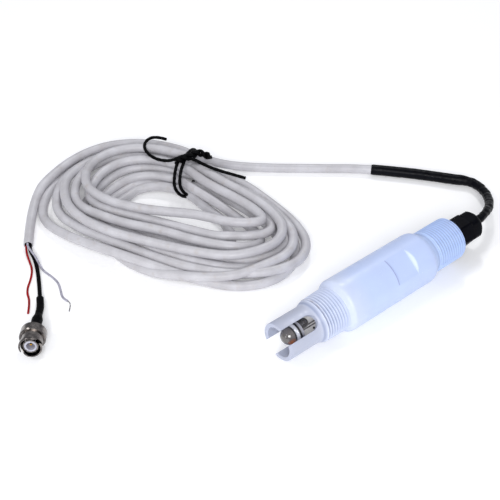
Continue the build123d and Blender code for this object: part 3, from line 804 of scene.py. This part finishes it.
def bulb_material():
    """Grey bulb glass, a black ring each side of a bright cell, and a brown stain on one side; the
    grey and a darker rim are painted shade for the dark surroundings seen through the clear glass.
    """
    material, tree, shader = new_material("bulb_glass")
    place = mm_ranged(tree, along_axis(tree), X_BULB_MARKS, X_BULB_END, 0.0, 1.0)
    grey, black, bright = tint(92, 88, 88), tint(8, 8, 10), tint(196, 198, 208)
    colour = ramp(tree, place, [
        (0.0, tint(74, 70, 68)), (0.2, grey), (0.5, tint(112, 106, 104)),
        (0.545, black), (0.6, black), (0.625, bright), (0.735, bright),
        (0.755, black), (0.845, black), (0.88, tint(150, 150, 158)), (1.0, tint(170, 170, 180))])
    turned = add_node(tree, "ShaderNodeLayerWeight", {"Blend": 0.25})
    painted_rim_shade = ranged(tree, turned.outputs["Facing"], 0.3, 0.9, 0.0, 0.85)
    # painted shade: the ball darkens towards its rim
    colour = mixed(tree, painted_rim_shade, colour, tint(24, 20, 20))
    colour = mixed(tree, bulb_stain(tree), colour, tint(170, 92, 30))
    roughness = ranged(tree, noise_value(tree, 800, 3.0), 0.4, 0.7, 0.04, 0.12)
    set_look(tree, shader, colour, roughness)
    shader.inputs["Specular IOR Level"].default_value = 0.9
    shader.inputs["Coat Weight"].default_value = 0.6
    return material


# Cords
def coil_points():
    """Every turn's points, station by station, from the tie round and back to the tie."""
    points = []
    for depths, heights in TURNS + [LEAVING_RUN]:
        for outer, inner, depth, height in zip(OUTER, INNER, depths, heights):
            edge = Vector((*outer, 0.0))
            inward = (Vector((*inner, 0.0)) - edge).normalized()
            points.append(edge + inward * depth + Vector((0.0, 0.0, height)))
    return points


def make_sleeved_cores(materials):
    """The shrunk sleeve behind the gland and the cores inside its bend."""
    sleeve = make_sleeve()
    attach(sleeve, BODY)
    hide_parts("sleeve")
    dress(sleeve, materials["shrunk_sleeve"])
    core = nurbs_curve("sleeve_core", metres(SLEEVE_BEND), CORE_D * MM)
    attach(core, BODY)
    dress(core, materials["black_jacket"])


def make_cable(materials):
    """The grey cable, from the sleeve through the tie and round the coil to its cut end."""
    route = SLEEVE_STRAIGHT + LEAD + [tuple(p) for p in coil_points()] + TAIL
    cable = nurbs_curve("cable", metres(route), CABLE_D * MM)
    opening = make_jacket_opening_shade(materials["black_jacket"])
    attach(cable, BODY)
    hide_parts("cable_lead", "cable_coil", "cable_tail")
    dress(cable, materials["jacket"])


def make_plug_lead(materials):
    """The black coaxial core between the cable's end and the plug."""
    coax = nurbs_curve("coax", metres(COAX), COAX_D * MM)
    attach(coax, BODY)
    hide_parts("coax_lead")
    dress(coax, materials["black_jacket"])


def make_red_lead(materials):
    red = nurbs_curve("red_lead", metres(RED), WIRE_D * MM)
    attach(red, BODY)
    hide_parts("red_wire")
    dress(red, materials["red"])


def make_white_lead(materials):
    """The white temperature lead and the bare strands at its end."""
    strands = make_strands()
    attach(strands, BODY)
    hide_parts("white_wire_strands")
    dress(strands, materials["copper"])
    white = nurbs_curve("white_lead", metres(WHITE), WIRE_D * MM)
    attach(white, BODY)
    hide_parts("white_wire")
    dress(white, materials["white"])


def make_jacket_opening_shade(material):
    """The dark hollow that shows in the jacket's cut end, round the cores: a black cap, as painted
    shade.
    """
    end, before = (Vector(p) * MM for p in (TAIL[-1], TAIL[-2]))
    out = (end - before).normalized()
    line = [end + out * place * MM for place in HOLLOW_PLACES]

    def radius(distance, angle):
        return (HOLLOW_R if distance < HOLLOW_RIM_FROM * MM else HOLLOW_RIM_R) * MM

    # painted shade: a black cap stands for the hollow in the cut end
    opening = mesh_tube("jacket_opening", line, radius, 32)
    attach(opening, BODY)
    return dress(opening, material)


def make_sleeve():
    """The shrunk tube: thin and wrinkled round the bend, thick and smoother over the jacket."""
    line = points_on_line(metres(SLEEVE_BEND + SLEEVE_STRAIGHT[1:]), 24)
    length = arc_lengths(line)[-1] / MM

    def radius(distance, angle):
        along = distance / MM
        rise = limited((along - SLEEVE_STEP) / SLEEVE_STEP_LEN + 0.5)
        rise = rise * rise * (3 - 2 * rise)
        thin = SLEEVE_R + SLEEVE_SWELL * min(along / SLEEVE_SWELL_LEN, 1.0)
        body = thin + (SLEEVE_JACKET_R - thin) * rise
        fold = FINE_FOLD[0] * sin(along * FINE_FOLD[1] + 0.9 * sin(angle * 2))
        fold += BROAD_FOLD[0] * sin(along * BROAD_FOLD[1] + angle)
        lump = LUMP_DEPTH * noise.noise(Vector((
            along * LUMP_RATE, cos(angle) * LUMP_ROUND, sin(angle) * LUMP_ROUND)))
        wrinkles = (fold + lump) * (1.0 - SMOOTHED_SHARE * rise)
        end = limited((length - along) / SLEEVE_END_LEN)
        return (body + wrinkles - SLEEVE_END_DROP * (1.0 - end)) * MM

    return mesh_tube("sleeve_shrunk", line, radius, 28)


def make_strands():
    """The stripped end: fine strands laid round each other."""
    line = points_on_line(metres(STRANDS), 10)
    parts = []
    for k in range(STRAND_COUNT):
        turned = wound(line, 2 * pi * k / STRAND_COUNT, STRAND_TWIST,
                       lambda distance: STRAND_SPREAD + STRAND_SPREAD_RATE * distance)
        parts.append(mesh_tube("strand", turned, lambda distance, angle: STRAND_R * MM, 8))
    return joined("strands_bare", parts)


# The housing's real outside, with its threads
def thread_groove(x, angle):
    """How deep the thread is cut at a place, from 0 at the crest to 1 at the root."""
    phase = (x / THREAD_PITCH - angle / (2 * pi)) % 1.0
    return limited(abs(2 * phase - 1) * FLANK_SLOPE - CREST_SHARE)


def on_slope(x, start, end):
    """The radius at x on a straight line between two points of (place, radius)."""
    return start[1] + (x - start[0]) / (end[0] - start[0]) * (end[1] - start[1])


def housing_outside(x, angle):
    """The housing's outer radius in millimetres at a place along and round it."""
    if x <= X_THREAD:
        return GUARD_R
    if x <= X_SHOULDER:
        crest = FRONT_CREST_R + (x - X_THREAD) * THREAD_TAPER / 2
        flare = GUARD_R + (x - X_THREAD) * FRONT_FLARE
        fade_in = (x - X_FIRST_GROOVE) / FIRST_GROOVE_FADE
        fade = limited(min(fade_in, (X_SHOULDER - x) / GROOVE_FADE))
        return min(crest - FRONT_GROOVE * thread_groove(x, angle) * fade, flare)
    if x < X_MAIN:
        return on_slope(x, (X_SHOULDER, SHOULDER_R), (X_MAIN, MAIN_R))
    if x <= X_MAIN_END:
        return MAIN_R
    if x < X_RELIEF:
        return on_slope(x, (X_MAIN_END, MAIN_R), (X_RELIEF, RELIEF_R))
    flare = RELIEF_R + max(x - X_REAR_THREAD, 0.0) * REAR_FLARE
    chamfer = REAR_CREST_R - max(x - (X_REAR - REAR_CHAMFER), 0.0)
    fade = limited((x - X_REAR_THREAD) / GROOVE_FADE)
    return min(REAR_CREST_R - REAR_GROOVE * thread_groove(x, angle) * fade, flare, chamfer)


def rounded_shoulder(x_corner, before, after):
    """Points round a corner of the outline, from before it to after it."""
    start, corner, end = (Vector((x, housing_outside(x, 0.0)))
                          for x in (x_corner - before, x_corner, x_corner + after))
    steps = 6
    points = []
    for i in range(steps + 1):
        t = i / steps
        points.append(tuple(start * (1 - t) ** 2 + corner * 2 * t * (1 - t) + end * t ** 2))
    return points


def thread_rows(start, end):
    """Stations along a thread, whose radius also depends on the angle."""
    rows = []
    x = start
    while x < end - 0.01:
        rows.append((x, None))
        x += THREAD_PITCH / ROWS_A_TURN
    return rows


def housing_rows():
    """The outline's stations along the axis: a place, and a fixed radius or None for a thread."""
    outside = [(X_TIP + behind, GUARD_R - under) for behind, under in GUARD_RIM]
    outside += [(x, GUARD_R) for x in GUARD_STATIONS]
    outside += thread_rows(X_THREAD, X_SHOULDER)
    outside.append((X_SHOULDER, SHOULDER_R))
    outside += rounded_shoulder(X_MAIN, *FRONT_ROUND)
    outside += [(x, MAIN_R) for x in MAIN_STATIONS]
    outside += rounded_shoulder(X_MAIN_END, *REAR_ROUND)
    outside.append((X_RELIEF, RELIEF_R))
    outside += thread_rows(X_REAR_THREAD, X_REAR)
    outside.append((X_REAR, REAR_END_R))
    return outside + list(reversed(HOUSING_BORE))


def housing_ring(shape, x, fixed):
    """One station's vertices round the housing, before it is rolled and lifted."""
    ring = []
    for i in range(HOUSING_COLUMNS):
        angle = 2 * pi * i / HOUSING_COLUMNS
        r = housing_outside(x, angle) if fixed is None else fixed
        ring.append(shape.verts.new((x * MM, -r * sin(angle) * MM, r * cos(angle) * MM)))
    return ring


def cut_away(body, cutters):
    """Takes the cutters' room out of a piece, and the cutters out of the scene."""
    for cutter in cutters:
        cut = body.modifiers.new("cut", "BOOLEAN")
        cut.operation = "DIFFERENCE"
        cut.solver = "EXACT"
        cut.object = cutter
    graph = bpy.context.evaluated_depsgraph_get()
    mesh = bpy.data.meshes.new_from_object(body.evaluated_get(graph))
    body.modifiers.clear()
    old = body.data
    body.data = mesh
    bpy.data.meshes.remove(old)
    for cutter in cutters:
        discard(cutter)
    return mesh


def make_housing(material):
    shape = bmesh.new()
    rings = [housing_ring(shape, x, fixed) for x, fixed in housing_rows()]
    for low, high in zip(rings, rings[1:] + rings[:1]):
        bridge(shape, low, high)
    body = finished_mesh("housing_moulded", shape)
    mesh = cut_away(body, [make_slot_cutter(), make_flat_cutter(1), make_flat_cutter(-1)])
    lifted = Matrix.Translation((0, 0, AXIS_Z * MM))
    mesh.transform(lifted @ Matrix.Rotation(radians(ROLL), 4, "X"))
    mesh.shade_smooth()
    mesh.set_sharp_from_angle(angle=radians(38))
    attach(body, BODY)
    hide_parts("housing")
    return dress(body, material)


def make_slot_cutter():
    """The guard's slot as a bar with a round end, right through both walls."""
    outline = [(X_SLOT_START, -SLOT_R), (X_SLOT_ROUND, -SLOT_R)]
    for i in range(1, SLOT_STEPS):
        turn = -pi / 2 + pi * i / SLOT_STEPS
        outline.append((X_SLOT_ROUND + SLOT_R * cos(turn), SLOT_R * sin(turn)))
    outline += [(X_SLOT_ROUND, SLOT_R), (X_SLOT_START, SLOT_R)]
    shape = bmesh.new()
    rings = [[shape.verts.new((x * MM, y * MM, z * MM)) for x, y in outline]
             for z in (-SLOT_REACH, SLOT_REACH)]
    return closed_tube("slot_cutter", shape, rings)


def make_flat_cutter(side):
    """A wrench flat's waste: upright at its front end and run out at a slope at its rear end."""
    outline = [(FLAT_START, FLAT_R), (FLAT_END, FLAT_R), (FLAT_RUN_OUT, FLAT_RUN_OUT_R),
               (FLAT_RUN_OUT, FLAT_TOP_R), (FLAT_START, FLAT_TOP_R)]
    shape = bmesh.new()
    rings = [[shape.verts.new((x * MM, y * MM, side * r * MM)) for x, r in outline]
             for y in (-FLAT_REACH, FLAT_REACH)]
    return closed_tube("flat_cutter", shape, rings)


# The glass sensor inside the guard
def axis_ring(shape, x, radius, columns):
    """Vertices round the probe's axis at one place, with radius(angle) in millimetres."""
    ring = []
    for i in range(columns):
        angle = 2 * pi * i / columns
        r = radius(angle)
        ring.append(shape.verts.new((x * MM, r * sin(angle) * MM, (AXIS_Z + r * cos(angle)) * MM)))
    return ring


def lathe(name, profile, columns=72):
    """A form turned round the probe's axis, from points of (x, radius) that start and end on it."""
    shape = bmesh.new()
    rings = []
    for x, r in profile:
        if r == 0:
            rings.append([shape.verts.new((x * MM, 0, AXIS_Z * MM))])
        else:
            rings.append(axis_ring(shape, x, lambda angle: r, columns))
    for low, high in zip(rings, rings[1:]):
        bridge(shape, low, high)
    return finished_mesh(name, shape)


def arc_points(x, radius, start, end, steps):
    """Points on an arc round a place on the axis, with angles in degrees from the tip's side."""
    points = []
    for i in range(steps + 1):
        angle = radians(start + (end - start) * i / steps)
        points.append((x - radius * cos(angle), radius * sin(angle)))
    return points


def make_glass(materials):
    """The glass in three stretches: the bulb with its rings, the clear stem and the inner tube."""
    ball = arc_points(X_BULB, BULB_R, 0, BULB_TURN, BULB_STEPS)
    ball[0] = (X_BULB - BULB_R, 0)
    bulb = lathe("glass_bulb", ball + BULB_NECK + [(X_BULB_END, STEM_R), (X_BULB_END, 0)])
    x_stem = X_BULB_END + STEM_GAP
    stem = lathe("glass_stem", [
        (x_stem, 0), (x_stem, STEM_R), (X_STEM_END, STEM_R), (X_STEM_END, 0)])
    dome = arc_points(X_INNER_END - INNER_R, INNER_R, 90, 180, INNER_STEPS)
    dome[-1] = (X_INNER_END, 0)
    inner = lathe("glass_inner_tube", [(X_BULB_END, 0), (X_BULB_END, INNER_R)] + dome)
    inner.data.transform(Matrix.Translation(Vector(INNER_SHIFT) * MM))
    for piece, key in ((bulb, "bulb"), (stem, "glass"), (inner, "inner_glass")):
        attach(piece, BODY)
        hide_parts("glass_electrode")
        dress(piece, materials[key])


# The twist tie
def plied(diameter):
    """A radius in metres for a tube of two plies, from a diameter in millimetres."""
    def radius(distance, angle):
        dent = PLY_DENT * (1 - abs(cos(angle - pi * distance / (TIE_LAY * MM))))
        return diameter / 2 * MM * (1 - dent)
    return radius


def make_tie(material):
    parts = []
    for route in TIE_WRAPS + [TIE_TAIL, TIE_HOOK]:
        line = points_on_line(metres(route), 10)
        parts.append(mesh_tube("tie_part", line, plied(TIE_D), TIE_SIDES))
    middle = points_on_line(metres(TIE_KNOT), 10)
    for start in (0.0, pi):
        twisted = wound(middle, start, KNOT_TWIST, lambda distance: KNOT_SPREAD)
        parts.append(mesh_tube("tie_knot", twisted, plied(KNOT_D), TIE_SIDES))
    tie = joined("tie_twisted", parts)
    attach(tie, BODY)
    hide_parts("twist_tie")
    return dress(tie, material)


# The gland's nut
def nut_radius(x, angle):
    """The nut's outside: six flats with cut corners, then a dome down to the sleeve."""
    turned = (angle + radians(ROLL)) % (pi / 3) - pi / 6
    flat = NUT_FLAT_R / cos(turned)
    if x > NUT_HEX_END:
        t = (x - NUT_HEX_END) / (NUT_END - NUT_HEX_END)
        return min(flat, DOME_R - DOME_DROP * t ** DOME_CURVE)
    front = max(1 - (x - NUT_START) / NUT_FRONT_CUT, 0.0)
    rear = max((x - NUT_HEX_END) / NUT_REAR_CUT_LEN + 1, 0.0)
    return min(flat, NUT_CORNER_R - NUT_FRONT_CUT * front - NUT_REAR_CUT * rear)


def make_gland_nut(material):
    places = [NUT_START + NUT_FRONT_CUT * i / 4 for i in range(5)] + NUT_FLAT_STATIONS
    places += [NUT_HEX_END - 0.6, NUT_HEX_END - 0.3, NUT_HEX_END]
    dome_step = (NUT_END - NUT_HEX_END) / DOME_STEPS
    places += [NUT_HEX_END + dome_step * i for i in range(1, DOME_STEPS + 1)]
    shape = bmesh.new()
    rings = [axis_ring(shape, x, lambda angle: nut_radius(x, angle), NUT_COLUMNS) for x in places]
    nut = closed_tube("gland_dome_nut", shape, rings, 30.0)
    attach(nut, BODY)
    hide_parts("gland_nut")
    return dress(nut, material)


# The CAD nodes that show as they are
def dress_nodes(materials):
    wanted = {
        "junction_frit": "ceramic", "sensing_wire": "silver",
        "reference_wire": "silver", "stem_stopper": "rubber", "o_ring_front": "rubber",
        "o_ring_rear": "rubber", "temperature_sensor": "steel", "sensor_lead_red": "red",
        "sensor_lead_white": "white", "internal_coax": "black_jacket", "rear_potting": "resin",
        "gland_body": "black_plastic", "gland_seal": "rubber",
        "cable_entry": "black_jacket", "plug_body": "nickel", "plug_insulator": "insulator",
        "centre_pin": "gold", "plug_gasket": "rubber", "spring_washer": "steel",
        "thrust_ring": "nickel", "coupling_nut": "nickel", "crimp_ferrule": "nickel",
        "plug_boot": "black_jacket",
    }
    for name, key in wanted.items():
        dress(NODES[name], materials[key])


# The view, the floor and the light
def make_camera():
    data = bpy.data.cameras.new("camera")
    data.lens = CAMERA_LENS
    data.sensor_width = SENSOR_WIDTH
    data.clip_start = 0.01
    data.clip_end = 20.0
    camera = link_object("camera", data)
    turn = Matrix((CAMERA_RIGHT, CAMERA_UP, CAMERA_BACK)).transposed().to_4x4()
    camera.matrix_world = Matrix.Translation(CAMERA_PLACE) @ turn
    bpy.context.scene.camera = camera


def make_floor():
    shape = bmesh.new()
    bmesh.ops.create_grid(shape, x_segments=1, y_segments=1, size=FLOOR_SIZE)
    floor = finished_mesh("floor", shape)
    material, tree, shader = new_material("floor_pale")
    colour = ramp(tree, noise_value(tree, 3, 2.0), [
        (0.3, tint(247, 247, 248)), (0.7, tint(250, 250, 251))])
    tree.links.new(colour, shader.inputs["Base Color"])
    shader.inputs["Roughness"].default_value = 0.9
    shader.inputs["Specular IOR Level"].default_value = 0.1
    shader.inputs["Emission Color"].default_value = (1, 1, 1, 1)
    shader.inputs["Emission Strength"].default_value = FLOOR_GLOW
    dress(floor, material)


def area_light(name, place, target, size, power):
    """A round soft light that points from its place to its target."""
    data = bpy.data.lights.new(name, "AREA")
    data.shape = "DISK"
    data.size = size
    data.energy = power
    light = link_object(name, data)
    aim = Vector(target) - Vector(place)
    light.location = place
    light.rotation_euler = aim.to_track_quat("-Z", "Y").to_euler()


def make_light():
    world = bpy.data.worlds.new("studio")
    world.use_nodes = True
    sky = world.node_tree.nodes["Background"]
    sky.inputs["Color"].default_value = (0.92, 0.94, 1.0, 1.0)
    sky.inputs["Strength"].default_value = SKY_STRENGTH
    bpy.context.scene.world = world
    for name, place, target, size, power in LIGHTS:
        area_light(name, place, target, size, power)
    bpy.context.scene.view_settings.view_transform = "Standard"


def main():
    materials = make_materials()
    make_sleeved_cores(materials)
    make_cable(materials)
    make_plug_lead(materials)
    make_red_lead(materials)
    make_white_lead(materials)
    make_housing(materials["housing"])
    make_glass(materials)
    make_gland_nut(materials["black_plastic"])
    make_tie(materials["tie"])
    dress_nodes(materials)
    make_camera()
    make_floor()
    make_light()
    bpy.context.view_layer.update()


main()
